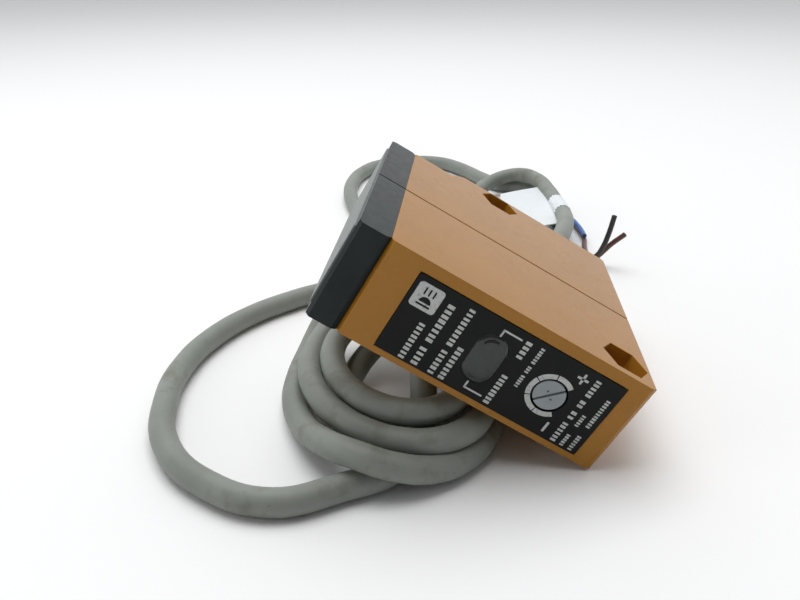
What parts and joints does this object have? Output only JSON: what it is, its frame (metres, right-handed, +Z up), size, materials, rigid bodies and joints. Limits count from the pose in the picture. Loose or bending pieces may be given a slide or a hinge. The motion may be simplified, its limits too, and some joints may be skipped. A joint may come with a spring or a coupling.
{
  "type": "photoelectric sensor",
  "caption": "Block-type photoelectric sensor with a clear front window, a sensitivity adjuster, a smoked lamp window and a grey cable coiled under it.",
  "frame": {"origin": "bottom centre of the sensor's own box (without its free cable), on the surface that it and its cable lie on", "axes": "+Z up; +X towards the rear of the sensor and level; +Y towards the sensor's cable face. The sensor lies on its side and leans back 30 degrees about Y: its rear lower edge is on the surface and its front rests on its coiled cable, so its optical axis points along (-0.866, 0, 0.5)."},
  "size_m": [0.0957, 0.2029, 0.0403],
  "materials": {
    "housing": "fine satin, orange-tan",
    "cap_plastic": "satin, blue-black",
    "window": "clear, finely stippled",
    "seal_rubber": "matt",
    "black_plastic": "matt",
    "red_lens": "clear red",
    "clear_lens": "clear",
    "red_lamp": "tinted",
    "green_lamp": "tinted",
    "chip_black": "moulded",
    "tinned_steel": "bright",
    "board_green": "solder mask",
    "ribbon": "amber film",
    "brass_pin": "bright",
    "capacitor_sleeve": "shrunk sleeve",
    "chip_tan": "ceramic",
    "trimmer_blue": "moulded",
    "knob_plastic": "pale blue-grey",
    "panel_black": "printed film",
    "smoked_window": "smoked",
    "bush_rubber": "matt grey",
    "cable_sheath": "grey PVC, slightly soiled",
    "core_insulation": "PVC",
    "white_tape": "white cloth-backed tape",
    "core_brown": "PVC",
    "core_blue": "PVC",
    "core_black": "PVC",
    "copper": "bright strands"
  },
  "bodies": {
    "sensor": {"case": "housing", "front_cap": "cap_plastic", "front_window": "window", "cap_gasket": "seal_rubber", "optic_holder": "black_plastic", "emitter_lens": "red_lens", "receiver_lens": "clear_lens", "emitter_led": "red_lamp", "photodiode": "chip_black", "photodiode_shield": "tinned_steel", "optics_board": "board_green", "main_board": "board_green", "control_board": "board_green", "board_link": "ribbon", "pin_header": "brass_pin", "sensor_ic": "chip_black", "regulator_ic": "chip_black", "output_transistor": "chip_black", "smoothing_capacitor": "capacitor_sleeve", "chip_parts": "chip_tan", "board_screws": "tinned_steel", "adjuster_housing": "trimmer_blue", "adjuster_seal": "seal_rubber", "label_panel": "panel_black", "indicator_window": "smoked_window", "light_led": "red_lamp", "stability_led": "green_lamp", "cable_bush": "bush_rubber", "cable_stub": "cable_sheath", "cable_clamp": "tinned_steel", "inner_cores": "core_insulation", "cable_arch": "cable_sheath", "cable_coil": "cable_sheath", "cable_loop": "cable_sheath", "cable_tag": "white_tape", "wire_brown": "core_brown", "wire_blue": "core_blue", "wire_black": "core_black", "copper_ends": "copper"},
    "adjuster": {"adjuster_knob": "knob_plastic"}
  },
  "joints": [
    {"name": "adjuster_turn", "type": "hinge", "parent": "sensor", "child": "adjuster", "pos_m": [0.01046, -0.0287, 0.01348], "axis": [0, -1, 0], "range_deg": [0, 264]}
  ]
}
